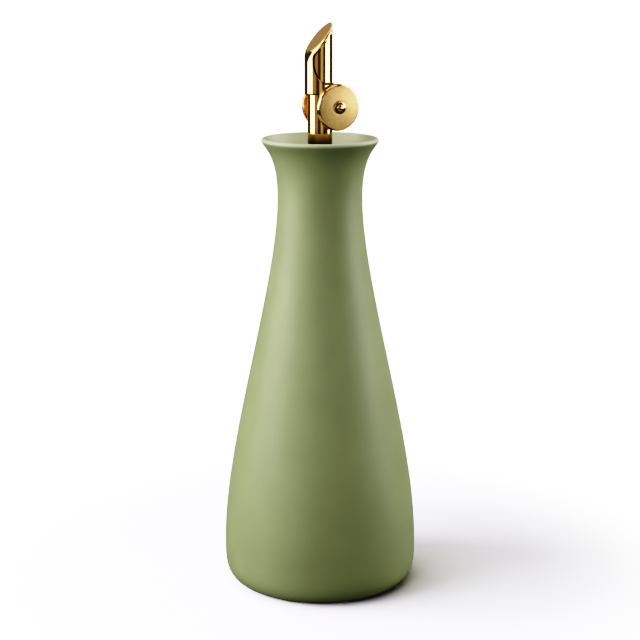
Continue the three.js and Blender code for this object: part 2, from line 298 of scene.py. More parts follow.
def add_piece(name, bm, body, nodes, material):
    """Makes a finished skin a piece that rides on a body and stands for its solids."""
    for face in bm.faces:
        face.smooth = True
    for edge in bm.edges:
        edge.smooth = edge.calc_face_angle(0.0) < SHARP
    mark_edges(bm)
    piece = bpy.data.objects.new(name, mesh_from(bm, name))
    piece.data.materials.append(material)
    piece.modifiers.new("weighted normals", "WEIGHTED_NORMAL").keep_sharp = True
    bpy.context.scene.collection.objects.link(piece)
    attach(piece, body)
    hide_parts(*nodes)


# Node trees

def add_node(tree, kind, inputs=None, **options):
    """Adds a node, sets its options, and links or fills its inputs."""
    node = tree.nodes.new(kind)
    for option, value in options.items():
        setattr(node, option, value)
    for socket, value in (inputs or {}).items():
        if isinstance(value, bpy.types.NodeSocket):
            tree.links.new(value, node.inputs[socket])
        else:
            node.inputs[socket].default_value = value
    return node


def maths(tree, operation, first, second=0.0, clamp=False):
    return add_node(
        tree, "ShaderNodeMath", {0: first, 1: second}, operation=operation, use_clamp=clamp,
    ).outputs[0]


def ramp(tree, value, low, high, out_low=0.0, out_high=1.0, smooth=True):
    """Value between low and high as a number between out_low and out_high."""
    return add_node(
        tree, "ShaderNodeMapRange", {"Value": value, 1: low, 2: high, 3: out_low, 4: out_high},
        interpolation_type="SMOOTHSTEP" if smooth else "LINEAR",
    ).outputs[0]


def blend_colours(tree, factor, first, second):
    return add_node(tree, "ShaderNodeMix", {0: factor, 6: first, 7: second}, data_type="RGBA").outputs[2]


def height_of(tree, place):
    return add_node(tree, "ShaderNodeSeparateXYZ", {0: place}).outputs[2]


def reach_of(tree, place, across=(1.0, 1.0, 0.0)):
    """Distance from an axis through the origin, measured across it."""
    level = add_node(tree, "ShaderNodeVectorMath", {0: place, 1: across}, operation="MULTIPLY").outputs[0]
    return add_node(tree, "ShaderNodeVectorMath", {0: level}, operation="LENGTH").outputs["Value"]


def opaque(rgb):
    return (*rgb, 1.0)


def shaded(rgb, factor):
    return opaque(channel * factor for channel in rgb)


def paler(rgb):
    """The colour with four tenths of white in it."""
    return opaque(0.6 * channel + 0.4 for channel in rgb)


def new_group(name, inputs, outputs):
    """Starts a shader node group with number and vector inputs and number outputs."""
    group = bpy.data.node_groups.new(name, "ShaderNodeTree")
    for socket, default in inputs.items():
        kind = "NodeSocketVector" if default is None else "NodeSocketFloat"
        made = group.interface.new_socket(name=socket, in_out="INPUT", socket_type=kind)
        if default is not None:
            made.default_value = default
    for socket in outputs:
        group.interface.new_socket(name=socket, in_out="OUTPUT", socket_type="NodeSocketFloat")
    return group, add_node(group, "NodeGroupInput"), add_node(group, "NodeGroupOutput")


def grain_group():
    """Fine grain with broad soft clouds in it, for every finish."""
    name = "Fine grain"
    if name in bpy.data.node_groups:
        return bpy.data.node_groups[name]
    group, start, end = new_group(
        name, {"Vector": None, "Grains per metre": 2000.0, "Clouds per metre": 40.0}, ("Grain", "Cloud"),
    )
    fine = add_node(group, "ShaderNodeTexNoise", {
        "Vector": start.outputs["Vector"], "Scale": start.outputs["Grains per metre"], "Detail": 3.0,
    })
    broad = add_node(group, "ShaderNodeTexNoise", {
        "Vector": start.outputs["Vector"], "Scale": start.outputs["Clouds per metre"], "Detail": 2.0,
    })
    group.links.new(ramp(group, fine.outputs[0], 0.3, 0.7), end.inputs["Grain"])
    group.links.new(ramp(group, broad.outputs[0], 0.35, 0.65), end.inputs["Cloud"])
    return group


def wear_group():
    """Mask of the edges that handling or firing has worn, broken up by noise."""
    name = "Edge wear"
    if name in bpy.data.node_groups:
        return bpy.data.node_groups[name]
    group, start, end = new_group(name, {"Edge": 0.0, "Vector": None, "Breaks per metre": 300.0}, ("Mask",))
    breaks = add_node(group, "ShaderNodeTexNoise", {
        "Vector": start.outputs["Vector"], "Scale": start.outputs["Breaks per metre"], "Detail": 4.0,
    })
    uneven = ramp(group, breaks.outputs[0], 0.3, 0.7, 0.45, 1.0)
    mask = maths(group, "MULTIPLY", start.outputs["Edge"], uneven, clamp=True)
    group.links.new(mask, end.inputs["Mask"])
    return group


class Finish:
    """A material under construction: its tree, its shader, its coordinates and the shared effects."""

    def __init__(self, name, grains, clouds, breaks):
        self.material = bpy.data.materials.new(name)
        self.material.use_nodes = True
        self.tree = self.material.node_tree
        self.shader = self.tree.nodes["Principled BSDF"]
        self.place = add_node(self.tree, "ShaderNodeTexCoord").outputs["Object"]
        edge = add_node(self.tree, "ShaderNodeAttribute", attribute_name="edge").outputs["Fac"]
        grain = add_node(self.tree, "ShaderNodeGroup", node_tree=grain_group())
        grain.inputs["Grains per metre"].default_value = grains
        grain.inputs["Clouds per metre"].default_value = clouds
        wear = add_node(self.tree, "ShaderNodeGroup", node_tree=wear_group())
        wear.inputs["Breaks per metre"].default_value = breaks
        self.tree.links.new(self.place, grain.inputs["Vector"])
        self.tree.links.new(self.place, wear.inputs["Vector"])
        self.tree.links.new(edge, wear.inputs["Edge"])
        self.grain, self.cloud = grain.outputs["Grain"], grain.outputs["Cloud"]
        self.wear = wear.outputs["Mask"]

    def set(self, **values):
        for socket, value in values.items():
            self.shader.inputs[socket].default_value = value

    def feed(self, socket, value):
        self.tree.links.new(value, self.shader.inputs[socket])

    def clouded(self, rgb, factor):
        """The plain colour, shaded by the factor in the clouds."""
        return blend_colours(self.tree, self.cloud, opaque(rgb), shaded(rgb, factor))

    def tint(self, base, mask, most, rgba):
        """Blends a colour over the base, by most of it where the mask is 1."""
        return blend_colours(self.tree, maths(self.tree, "MULTIPLY", mask, most), base, rgba)

    def spread(self, mask, low, high):
        """Number that runs from low to high as the mask runs from 0 to 1."""
        return ramp(self.tree, mask, 0.0, 1.0, low, high, smooth=False)

    def emboss(self, height, depth):
        bump = add_node(self.tree, "ShaderNodeBump", {"Height": height, "Distance": depth})
        self.feed("Normal", bump.outputs[0])


def glaze_finish(bottle):
    """Satin sage glaze with clouds and pinholes, with painted light that turns the lip and the inside pale,
    off the bare foot ring.
    """
    finish = Finish("satin sage glaze", grains=1400, clouds=38, breaks=160)
    tree = finish.tree
    finish.set(IOR=1.5)
    height = height_of(tree, finish.place)
    # A line up the middle of the flaring wall: its reach at the floor, and its gain in reach with height
    wall_foot, wall_slope = -76.5 * MM, 0.49
    reach = reach_of(tree, finish.place)
    flare = maths(tree, "SUBTRACT", reach, maths(tree, "MULTIPLY", height, wall_slope))
    # Masks of the inside of the mouth and of the lip, where painted light tints the glaze pale
    inside = ramp(tree, flare, wall_foot + 0.5 * MM, wall_foot - 0.5 * MM)
    lip = ramp(tree, height, bottle.flare_height - 0.6 * MM, bottle.flare_height + 0.6 * MM)
    bare = ramp(tree, height, 0.55 * MM, 0.25 * MM)
    pits = add_node(tree, "ShaderNodeTexVoronoi", {"Vector": finish.place, "Scale": 260.0, "Randomness": 1.0})
    pit = ramp(tree, pits.outputs["Distance"], 0.06, 0.02)
    # Pale colour for the worn glaze edges and for the painted light on the lip and inside
    pale_glaze_and_painted_light = opaque(bottle.thin_glaze_and_painted_light)
    base = finish.tint(finish.clouded(bottle.glaze, 0.94), finish.grain, 0.05, pale_glaze_and_painted_light)
    base = finish.tint(base, finish.wear, 0.4, pale_glaze_and_painted_light)
    # Painted light: the lip and the inside of the mouth are tinted pale, as if lit more brightly
    base = finish.tint(base, maths(tree, "MAXIMUM", inside, lip), 0.85, pale_glaze_and_painted_light)
    base = finish.tint(base, pit, 0.1, shaded(bottle.glaze, 0.5))
    finish.feed("Base Color", blend_colours(tree, bare, base, opaque(bottle.clay)))
    rough = finish.spread(finish.grain, bottle.gloss - 0.03, bottle.gloss + 0.04)
    finish.feed("Roughness", maths(tree, "ADD", rough, maths(tree, "MULTIPLY", bare, 0.5)))
    finish.emboss(maths(tree, "SUBTRACT", finish.grain, maths(tree, "MULTIPLY", pit, 0.8)), 0.008 * MM)
    return finish.material


def gold_finish(name, rgb, polish, grains, painted_dark_below=None):
    """Polished gold plate: fine grain, faint hazy patches, paler rubbed edges and perhaps a foot darkened by
    painted shade.
    """
    finish = Finish(name, grains=grains, clouds=120, breaks=900)
    tree = finish.tree
    finish.set(Metallic=1.0)
    base = finish.tint(finish.clouded(rgb, 0.95), finish.wear, 0.3, paler(rgb))
    # Painted shade: below the given height the gold is turned nearly black, standing in for the shade and
    # dark reflection of the bottle's mouth
    if painted_dark_below is not None:
        painted_dark_foot = ramp(tree, height_of(tree, finish.place), painted_dark_below, painted_dark_below - 8 * MM)
        base = blend_colours(tree, painted_dark_foot, base, shaded(rgb, 0.12))
    finish.feed("Base Color", base)
    rough = finish.spread(finish.cloud, polish * 0.8, polish * 1.3)
    finish.feed("Roughness", maths(tree, "ADD", rough, maths(tree, "MULTIPLY", finish.wear, 0.05)))
    finish.emboss(finish.grain, 0.0003 * MM)
    return finish.material


def satin_finish(weights):
    """Turned gold: satin faces with fine rings round the middle and a polished shoulder."""
    finish = Finish("satin gold", grains=5200, clouds=150, breaks=700)
    tree = finish.tree
    finish.set(Metallic=1.0)
    centred = add_node(tree, "ShaderNodeMapping", {
        "Vector": finish.place, "Location": (-WEIGHT_CENTRE.x, 0.0, -WEIGHT_CENTRE.z),
    }).outputs[0]
    reach = reach_of(tree, centred, across=(1.0, 0.0, 1.0))
    rim = face_rim(weights)
    polished = ramp(tree, reach, rim - 0.1 * MM, rim + 0.05 * MM)
    line = add_node(tree, "ShaderNodeCombineXYZ", {0: reach}).outputs[0]
    rings = add_node(tree, "ShaderNodeTexNoise", {"Vector": line, "Scale": 5200.0, "Detail": 4.0}).outputs[0]
    base = finish.clouded(weights.gold, 0.93)
    finish.feed("Base Color", finish.tint(base, finish.wear, 0.25, paler(weights.gold)))
    satin = finish.spread(finish.grain, weights.satin - 0.04, weights.satin + 0.05)
    rough = add_node(tree, "ShaderNodeMix", {0: polished, 2: satin, 3: 0.08}, data_type="FLOAT").outputs[0]
    finish.feed("Roughness", rough)
    turned_face = maths(tree, "SUBTRACT", 1.0, polished)
    finish.emboss(maths(tree, "MULTIPLY", rings, turned_face), 0.002 * MM)
    return finish.material


def rubber_finish(rgb):
    """Moulded rubber: matt, with a fine grain and slightly greyed edges."""
    finish = Finish("black rubber", grains=2600, clouds=90, breaks=500)
    finish.feed("Base Color", finish.tint(finish.clouded(rgb, 1.6), finish.wear, 0.5, shaded(rgb, 3)))
    finish.feed("Roughness", finish.spread(finish.grain, 0.62, 0.78))
    finish.emboss(finish.grain, 0.02 * MM)
    return finish.material


# Bottle

def lip_centre(bottle):
    lean, radius = bottle.flare_angle, bottle.lip_radius
    return at(bottle.flare_radius - radius * cos(lean), bottle.flare_height + radius * sin(lean))


def flare_curve(bottle, neck_radius, end):
    """Wall from the waist up to the lip."""
    pull_up, pull_down = 18.5 * MM, 3.4 * MM
    lean = at(sin(bottle.flare_angle), cos(bottle.flare_angle))
    waist = at(neck_radius, bottle.neck_height)
    return (waist, waist + pull_up * UPWARD, end - pull_down * lean, end)


def belly_curve(bottle, belly_radius, neck_radius):
    """Wall from the belly up to the waist."""
    pull_up, pull_down = 47.8 * MM, 40.5 * MM
    belly, waist = at(belly_radius, bottle.belly_height), at(neck_radius, bottle.neck_height)
    return (belly, belly + pull_up * UPWARD, waist - pull_down * UPWARD, waist)


def corner_curve(bottle, belly_radius, floor_radius, floor):
    """Wall from the floor or the table round to the belly."""
    pull_out, pull_up = 11.1 * MM, 8 * MM
    start, belly = at(floor_radius, floor), at(belly_radius, bottle.belly_height)
    return (start, at(floor_radius + pull_out, floor), belly - pull_up * UPWARD, belly)


def inner_wall(bottle):
    """Inside of the bottle from the lip down to its floor."""
    bore, inside = bottle.neck_radius - bottle.neck_wall, bottle.belly_radius - bottle.belly_wall
    lip_end = lip_centre(bottle) + bottle.lip_radius * at(-cos(bottle.flare_angle), sin(bottle.flare_angle))
    inner_floor = bottle.foot_radius - 11.1 * MM
    flare = curve(flare_curve(bottle, bore, lip_end), 22)
    belly = curve(belly_curve(bottle, inside, bore), 40)
    corner = curve(corner_curve(bottle, inside, inner_floor, bottle.floor), 16)
    return (corner + belly[1:] + flare[1:])[::-1]


def bore_at(bottle, height):
    """Inner radius of the bottle at a height above its waist."""
    wall = inner_wall(bottle)
    below = next(place for place, point in enumerate(wall) if point.z < height)
    high, low = wall[below - 1], wall[below]
    return low.lerp(high, (height - low.z) / (high.z - low.z)).x


def bottle_skin(bottle):
    """Whole bottle, from the middle of its underside over the lip to the middle of its floor."""
    lean = degrees(bottle.flare_angle)
    ring_start = bottle.recess_radius + bottle.recess_depth
    recess = rounded_all(
        [at(0, bottle.recess_depth), at(bottle.recess_radius, bottle.recess_depth), at(ring_start, 0),
         at(bottle.foot_radius, 0)],
        {1: 0.5 * MM, 2: 0.35 * MM},
    )
    corner = curve(corner_curve(bottle, bottle.belly_radius, bottle.foot_radius, 0), 20)
    belly = curve(belly_curve(bottle, bottle.belly_radius, bottle.neck_radius), 44)
    flare = curve(flare_curve(bottle, bottle.neck_radius, at(bottle.flare_radius, bottle.flare_height)), 24)
    lip = arc(lip_centre(bottle), bottle.lip_radius, -lean, 180 - lean, 14)
    outline = recess[:-1] + corner + belly[1:] + flare[1:] + lip[1:] + inner_wall(bottle)[1:]
    return turned(outline + [at(0, bottle.floor)], BOTTLE_SIDES, closed=False)


# Stopper and tube

def stopper_skin(bottle, pourer):
    """Ribbed plug round the tube, with a flange that fills the throat of the bottle."""
    gap = 0.3 * MM
    hole = pourer.tube_radius + gap
    bottom, top = STOPPER_LOW.z, STOPPER_HIGH.z
    first_rib, rib_pitch, rib_height, ribs = 169 * MM, 4.6 * MM, 1.8 * MM, 4
    body, reach = pourer.stopper_radius, pourer.rib_radius - pourer.stopper_radius
    outline = [at(hole, bottom), at(body - 1.5 * MM, bottom), at(body, bottom + 1.5 * MM)]
    for rib in range(ribs):
        middle = first_rib + rib * rib_pitch + rib_height / 2
        outline += arc(at(body, middle), reach, -90, 90, 10, squash=rib_height / 2 / reach)
    flange_bottom, edge, dish = top - 3 * MM, top - 1 * MM, top - 0.35 * MM
    rim = bore_at(bottle, edge) - gap
    flange = rounded_all(
        [at(body, flange_bottom), at(bore_at(bottle, flange_bottom) - gap, flange_bottom), at(rim, edge),
         at(rim - 0.25 * MM, top), at(hole + 2.6 * MM, top), at(hole + 2 * MM, dish),
         at(hole + 0.5 * MM, dish), at(hole, top - 0.85 * MM)],
        {1: 0.3 * MM, 3: 0.6 * MM, 4: 0.2 * MM, 5: 0.2 * MM},
    )
    return turned(outline + flange, METAL_SIDES, closed=True)


def tube_skin(pourer, flap):
    """Open tube with a collar, cut off slanted under the lid, with both ends of the hinge pin."""
    bottom, collar_bottom = TUBE_LOW.z, STOPPER_HIGH.z + 0.3 * MM
    collar_top = collar_bottom + pourer.collar_thickness
    radius, bore, collar = pourer.tube_radius, pourer.bore_radius, pourer.collar_radius
    top, under_skirt = FLAP_HIGH.z + 5 * MM, 0.45 * MM
    # Rows up the straight walls keep the wear at the ends from running along them
    rise, fall = (top - collar_top) / TUBE_ROWS, (top - bottom) / TUBE_ROWS
    outside = [at(radius, collar_top + rise * (row + 1)) for row in range(TUBE_ROWS)]
    inside = [at(bore, top - fall * row) for row in range(TUBE_ROWS)]
    outline = rounded_all(
        [at(bore, bottom), at(radius, bottom), at(radius, collar_bottom), at(collar, collar_bottom),
         at(collar, collar_top), at(radius, collar_top)] + outside + inside,
        {0: 0.2 * MM, 1: 0.2 * MM, 3: 0.35 * MM, 4: 0.4 * MM, 5: 0.4 * MM},
    )
    bm = turned(outline, METAL_SIDES, closed=True)
    rim = at(0.0, skirt_height(flap, 0.0) - under_skirt)
    across = at(-skirt_slope(flap), 1.0)
    cut = bmesh.ops.bisect_plane(
        bm, geom=bm.verts[:] + bm.edges[:] + bm.faces[:], plane_co=rim, plane_no=across, clear_outer=True,
    )
    rims = [edge for edge in cut["geom_cut"] if isinstance(edge, bmesh.types.BMEdge) and edge.is_boundary]
    bmesh.ops.bridge_loops(bm, edges=rims)
    bmesh.ops.bevel(
        bm, geom=[edge for edge in rims if edge.is_valid], offset=0.14 * MM, offset_type="OFFSET", segments=3,
        profile=0.5, affect="EDGES", clamp_overlap=True, material=-1,
    )
    pin, reach, root = pourer.pin_radius, flap.sleeve_radius, bore + 0.3 * MM
    pins = [cross_bar(HINGE.x, HINGE.z, pin, root, reach), cross_bar(HINGE.x, HINGE.z, pin, -reach, -root)]
    return joined_with(tidied(bm), pins, "UNION")


# Flap: one sheet, mapped from a grid of columns round the tube and rows from the lid down

LID_ROWS = 16
EDGE_ROWS = 7
SKIRT_ROWS = 3
CORNER_ROWS = 4
SIDE_ROWS = 9
SWEEP_ROWS = 7
BAND_ROWS = 9
FRONT_COLUMNS = 46
STRAP_COLUMNS = 14

# Corner of the window, the skirt's depth and the band's dip at the middle of the back, foot of the pin's eye
TOP_CORNER = 1.3 * MM
STRAP_SKIRT = 2.4 * MM
STRAP_DROP = 2 * MM
EYE_BOTTOM = HINGE.z - 2.9 * MM


def lid_height(flap, x):
    """Height of the lid's flat face above x, before its tip is rounded."""
    tip_x = FLAP_LOW.x + 2 * flap.sleeve_radius
    over_tip = flap.front_edge * (1.0 + flap.slope - hypot(1.0, flap.slope))
    return FLAP_HIGH.z + over_tip + flap.slope * (x - tip_x)


def lid_top(flap, x):
    """Height of the lid above x, with its bend into the back strap."""
    back = FLAP_LOW.x
    bend = flap.bend_radius * tan((pi / 2 - atan(flap.slope)) / 2)
    run = bend / hypot(1.0, flap.slope)
    if x >= back + run:
        return lid_height(flap, x)
    t = sqrt(max(0.0, x - back) / run)
    corner = lid_height(flap, back)
    return (1 - t) ** 2 * (corner - bend) + 2 * t * (1 - t) * corner + t * t * (corner + run * flap.slope)


def skirt_slope(flap):
    """Rise of the skirt's lower edge for each unit that it runs forward."""
    run = FLAP_LOW.x + 2 * flap.sleeve_radius + flap.window_back
    return flap.slope + (flap.skirt_back - flap.skirt_front) / run


def window_corner(flap, t):
    """Point of the round corner between the window's back edge, at t = 0, and the skirt, at t = 1."""
    back = -flap.window_back
    lean = atan(skirt_slope(flap))
    corner = at(back, lid_height(flap, back) - flap.skirt_back)
    along = t * t * TOP_CORNER
    return corner + at(along * cos(lean), along * sin(lean) - (1 - t) ** 2 * TOP_CORNER)


def skirt_height(flap, x):
    """Height of the skirt's lower edge at x."""
    end = window_corner(flap, 1.0)
    if x < end.x:
        return window_corner(flap, sqrt(max(0.0, x + flap.window_back) / (end.x + flap.window_back))).z
    return end.z + skirt_slope(flap) * (x - end.x)


def ear_top(flap, x):
    """Height of an arm's upper edge at x, falling round the front of the ear."""
    bend_x, tip = WEIGHT_CENTRE.x - 1 * MM, FLAP_HIGH.x
    if x <= bend_x:
        return flap.arm_top
    t = 1 - sqrt(max(0.0, tip - x) / (tip - bend_x))
    return flap.arm_top + (WEIGHT_CENTRE.z - flap.arm_top) * t * t


def ear_bottom(flap, x):
    """Height of the sleeve's and the ear's lower edge at x."""
    eye, ear = HINGE.z - EYE_BOTTOM, FLAP_HIGH.x - WEIGHT_CENTRE.x
    if x < -eye:
        return flap.arm_bottom
    if x < 0:
        return HINGE.z - sqrt(eye ** 2 - x ** 2)
    if x < WEIGHT_CENTRE.x:
        return EYE_BOTTOM + (FLAP_LOW.z - EYE_BOTTOM) * x / WEIGHT_CENTRE.x
    return WEIGHT_CENTRE.z - sqrt(max(0.0, ear ** 2 - (x - WEIGHT_CENTRE.x) ** 2))


def window_edge(flap):
    """Back edge of the window, top to bottom, as (x, z) at each row from the skirt to the lower band."""
    top = [window_corner(flap, 0.5 - 0.5 * step / CORNER_ROWS) for step in range(CORNER_ROWS + 1)]
    low = at(-flap.window_back, flap.window_corner)
    side = [top[-1].lerp(low, step / SIDE_ROWS) for step in range(1, SIDE_ROWS)]
    sweep = arc(
        at(0, flap.window_corner), flap.window_back, 180, 225, SWEEP_ROWS,
        squash=(flap.window_corner - flap.arm_top) / flap.window_back,
    )
    return top + side + sweep


def flap_sheet(flap):
    """The flap's outer face as an open skin."""
    radius, axis = flap.sleeve_radius, FLAP_LOW.x + flap.sleeve_radius
    side = window_edge(flap)
    last_lid = LID_ROWS + EDGE_ROWS
    first_side = last_lid + SKIRT_ROWS
    first_band = first_side + len(side) - 1
    rows = first_band + BAND_ROWS
    half = FRONT_COLUMNS + STRAP_COLUMNS

    def side_turn(row):
        """Turn from the front, about the sleeve's axis, of the column along the window's back edge."""
        x = side[min(max(row - first_side, 0), len(side) - 1)].x
        return acos((x - axis) / radius)

    def turn(column, row):
        edge = side_turn(row)
        if column <= FRONT_COLUMNS:
            return edge * column / FRONT_COLUMNS
        return edge + (pi - edge) * (column - FRONT_COLUMNS) / STRAP_COLUMNS

    def lid_place(row, around):
        edge = flap.front_edge + (flap.back_edge - flap.front_edge) * (1 - cos(around)) / 2
        if row <= LID_ROWS:
            out, drop = (radius - edge) * row / LID_ROWS, 0.0
        else:
            lean = pi / 2 * (row - LID_ROWS) / EDGE_ROWS
            out, drop = radius - edge * (1 - sin(lean)), edge * (1 - cos(lean))
        x = axis + out * cos(around)
        return out, lid_top(flap, x) - drop

    def wall_height(row, column, around):
        """Height of a point of the sleeve under the lid."""
        x = axis + radius * cos(around)
        top = lid_place(last_lid, around)[1]
        behind = max(0, column - FRONT_COLUMNS) / STRAP_COLUMNS
        ease = behind * behind * (3 - 2 * behind)
        skirt = skirt_height(flap, x)
        if column >= FRONT_COLUMNS:
            side_depth = lid_place(last_lid, side_turn(first_side))[1] - side[0].z
            skirt = top - side_depth - (STRAP_SKIRT - side_depth) * ease
        if row <= first_side:
            return top + (skirt - top) * (row - last_lid) / SKIRT_ROWS
        if row < first_band:
            fallen = (side[0].z - side[row - first_side].z) / (side[0].z - side[-1].z)
            return skirt + (side[-1].z - STRAP_DROP * ease - skirt) * fallen
        top_edge = band_top(column, around, ease)
        down = (row - first_band) / BAND_ROWS
        return top_edge + (ear_bottom(flap, band_x(around)) - top_edge) * down

    def band_x(around):
        """The lower band leaves the round at its sides and runs straight forward as two flat arms."""
        if around >= pi / 2:
            return axis + radius * cos(around)
        first = side_turn(rows) / FRONT_COLUMNS
        return FLAP_HIGH.x - (FLAP_HIGH.x - axis) * max(0.0, around - first) / (pi / 2 - first)

    def band_top(column, around, ease):
        if column > FRONT_COLUMNS:
            return side[-1].z - STRAP_DROP * ease
        x = band_x(around)
        if x < 0:
            deep = (flap.window_corner - flap.arm_top) * sqrt(max(0.0, 1 - (x / flap.window_back) ** 2))
            return flap.window_corner - deep
        return ear_top(flap, x)

    def place(column, row):
        hand = 1 if column >= 0 else -1
        column = abs(column)
        around = turn(column, row)
        if row <= last_lid:
            out, height = lid_place(row, around)
            return Vector((axis + out * cos(around), hand * out * sin(around), height))
        height = wall_height(row, column, around)
        if row >= first_band and around < pi / 2:
            return Vector((band_x(around), hand * radius, height))
        return Vector((axis + radius * cos(around), hand * radius * sin(around), height))

    bm = bmesh.new()
    bmesh.ops.create_grid(bm, x_segments=2 * half, y_segments=rows, size=0.5)
    cells = {vert: (round(vert.co.x * 2 * half), round((0.5 - vert.co.y) * rows)) for vert in bm.verts}
    cut_out = []
    for face in bm.faces:
        columns = [abs(cells[vert][0]) for vert in face.verts]
        row = min(cells[vert][1] for vert in face.verts)
        in_window = first_side <= row < first_band and max(columns) <= FRONT_COLUMNS
        between_arms = row >= first_band and min(columns) == 0
        if in_window or between_arms:
            cut_out.append(face)
    bmesh.ops.delete(bm, geom=cut_out, context="FACES")
    for vert in bm.verts:
        vert.co = place(*cells[vert])
    bmesh.ops.remove_doubles(bm, verts=bm.verts, dist=0.002 * MM)
    bmesh.ops.recalc_face_normals(bm, faces=bm.faces)
    if sum(face.normal.dot(face.calc_center_median() - HINGE) for face in bm.faces) < 0:
        bmesh.ops.reverse_faces(bm, faces=bm.faces)
    return bm


def flap_skin(flap, pourer, weights):
    """The flap's sheet given its thickness, with softened edges and holes for the pin and the rivets."""
    bm = flap_sheet(flap)
    bmesh.ops.solidify(bm, geom=bm.faces[:], thickness=flap.sheet)
    bmesh.ops.recalc_face_normals(bm, faces=bm.faces)
    rims = [edge for edge in bm.edges if edge.is_manifold and edge.calc_face_angle() > radians(60)]
    bmesh.ops.bevel(
        bm, geom=rims, offset=0.1 * MM, offset_type="OFFSET", segments=2, profile=0.5, affect="EDGES",
        clamp_overlap=False, material=-1,
    )
    gap, wide = 0.3 * MM, 2 * flap.sleeve_radius
    holes = [
        cross_bar(HINGE.x, HINGE.z, pourer.pin_radius + gap, -wide, wide),
        cross_bar(WEIGHT_CENTRE.x, WEIGHT_CENTRE.z, weights.shank_radius + gap, -wide, wide),
    ]
    return joined_with(bm, holes, "DIFFERENCE")


# Weights and rivets

def set_beside(bm, hand):
    """Lays a turned skin on its side, its foot at the weights' inner faces, on the far or near side."""
    lay = Matrix.Rotation(-hand * pi / 2, 4, "X")
    move = Matrix.Translation((WEIGHT_CENTRE.x, hand * WEIGHT_LOW.y, WEIGHT_CENTRE.z))
    bmesh.ops.transform(bm, matrix=move @ lay, verts=bm.verts)
    return bm


def face_rim(weights):
    """Radius of the crisp edge round a weight's face."""
    return WEIGHT_RADIUS - weights.shoulder * (1 - cos(weights.shoulder_turn))


def weight_skin(weights, hand):
    """Thick disc with a rounded shoulder, a slightly crowned face and a seat for the rivet's washer."""
    gap, seat_gap, seat_depth = 0.3 * MM, 0.08 * MM, 0.6 * MM
    inner_round, face_steps = 0.35 * MM, 9
    hole, seat, rim = weights.shank_radius + gap, weights.washer_radius + seat_gap, face_rim(weights)

    def face(reach):
        return at(reach, WEIGHT_THICKNESS - weights.crown * (reach / rim) ** 2)

    shoulder_foot = face(rim).z - weights.shoulder * sin(weights.shoulder_turn)
    inner = arc(at(WEIGHT_RADIUS - inner_round, inner_round), inner_round, -90, 0, 5)
    bend = at(WEIGHT_RADIUS - weights.shoulder, shoulder_foot)
    shoulder = arc(bend, weights.shoulder, 0, degrees(weights.shoulder_turn), 9)
    crowned = [face(rim + (seat - rim) * step / face_steps) for step in range(1, face_steps)]
    outer = rounded(inner + shoulder + crowned, len(inner + shoulder) - 1, 0.12 * MM)
    seat_floor = WEIGHT_THICKNESS - seat_depth
    seat_edge = rounded_all(
        [crowned[-1], face(seat), at(seat, seat_floor), at(hole, seat_floor), at(hole, 0)],
        {1: 0.06 * MM, 2: 0.1 * MM, 3: 0.1 * MM},
    )
    return set_beside(turned(outer + seat_edge[1:], METAL_SIDES, closed=True), hand)


def rivet_skin(weights, hand):
    """Shank, washer and dome."""
    shank_end = RIVET_LOW.y - WEIGHT_LOW.y
    washer_bottom, washer_top = WEIGHT_THICKNESS - 0.3 * MM, WEIGHT_THICKNESS + weights.washer_proud
    dome_height = RIVET_HIGH.y - WEIGHT_HIGH.y - weights.washer_proud
    shank, washer, dome = weights.shank_radius, weights.washer_radius, weights.dome_radius
    body = rounded_all(
        [at(0, shank_end), at(shank, shank_end), at(shank, washer_bottom), at(washer, washer_bottom),
         at(washer, washer_top), at(dome + 0.3 * MM, washer_top - 0.06 * MM)],
        {1: 0.15 * MM, 3: 0.1 * MM, 4: 0.13 * MM},
    )
    cap = arc(at(0, washer_top), dome, 4, 90, 12, squash=dome_height / dome)
    return set_beside(turned(body + cap[:-1] + [at(0, cap[-1].z)], RIVET_SIDES, closed=False), hand)


# Studio

SOFT_BOXES = (
    # name, first and last turn from the camera in degrees (left positive), low and high edge, brightness
    ("left low soft box", 53, 101, 0.02, 0.5, 3.3),
    ("left high soft box", 53, 101, 0.5, 1.9, 1.95),
    ("left front low glow", 20, 53, 0.02, 0.35, 0.2),
    ("left front high soft box", 20, 53, 0.35, 1.0, 1.5),
    ("left back high soft box", 101, 135, 0.8, 1.9, 0.9),
    ("left rear high soft box", 135, 165, 0.95, 1.9, 0.9),
    ("front high soft box", -20, 20, 0.9, 1.9, 0.15),
    ("front strip", -30, -6, 0.02, 0.5, 0.33),
    ("right front strip", -77, -53, 0.125, 0.235, 3.3),
    ("right low soft box", -101, -77, 0.02, 0.5, 2.9),
    ("right high soft box", -101, -77, 0.5, 1.5, 1.1),
    ("right back soft box", -135, -101, 0.25, 0.8, 3.1),
    ("right back high soft box", -135, -101, 0.8, 1.9, 2.1),
)


def soft_box(name, place, width, height, radiance):
    """Rectangular soft box that the camera doesn't see, shining down until it is turned."""
    lamp = bpy.data.lights.new(name, "AREA")
    lamp.shape = "RECTANGLE"
    lamp.size, lamp.size_y = width, height
    lamp.energy = radiance * pi * width * height
    light = bpy.data.objects.new(name, lamp)
    light.location = place
    light.visible_camera = False
    bpy.context.scene.collection.objects.link(light)
    return light


def from_axis(studio, turn):
    """Level direction from the axis, at a turn from the camera's side."""
    away = studio.camera_turn + turn
    return Vector((-sin(away), -cos(away), 0.0))


def add_lights(studio):
    """Upright soft boxes that face the axis, and one overhead."""
    for name, start, end, low, high, radiance in SOFT_BOXES:
        outward = from_axis(studio, radians(start + end) / 2)
        width = 2 * studio.light_distance * tan(radians(end - start) / 2)
        place = studio.light_distance * outward + at(0, (low + high) / 2)
        light = soft_box(name, place, width, high - low, radiance * studio.lights)
        light.rotation_euler = outward.to_track_quat("Z", "Y").to_euler()
    size = studio.top_size
    soft_box("top soft box", at(0, studio.top_height), size, size, studio.top_light * studio.lights)


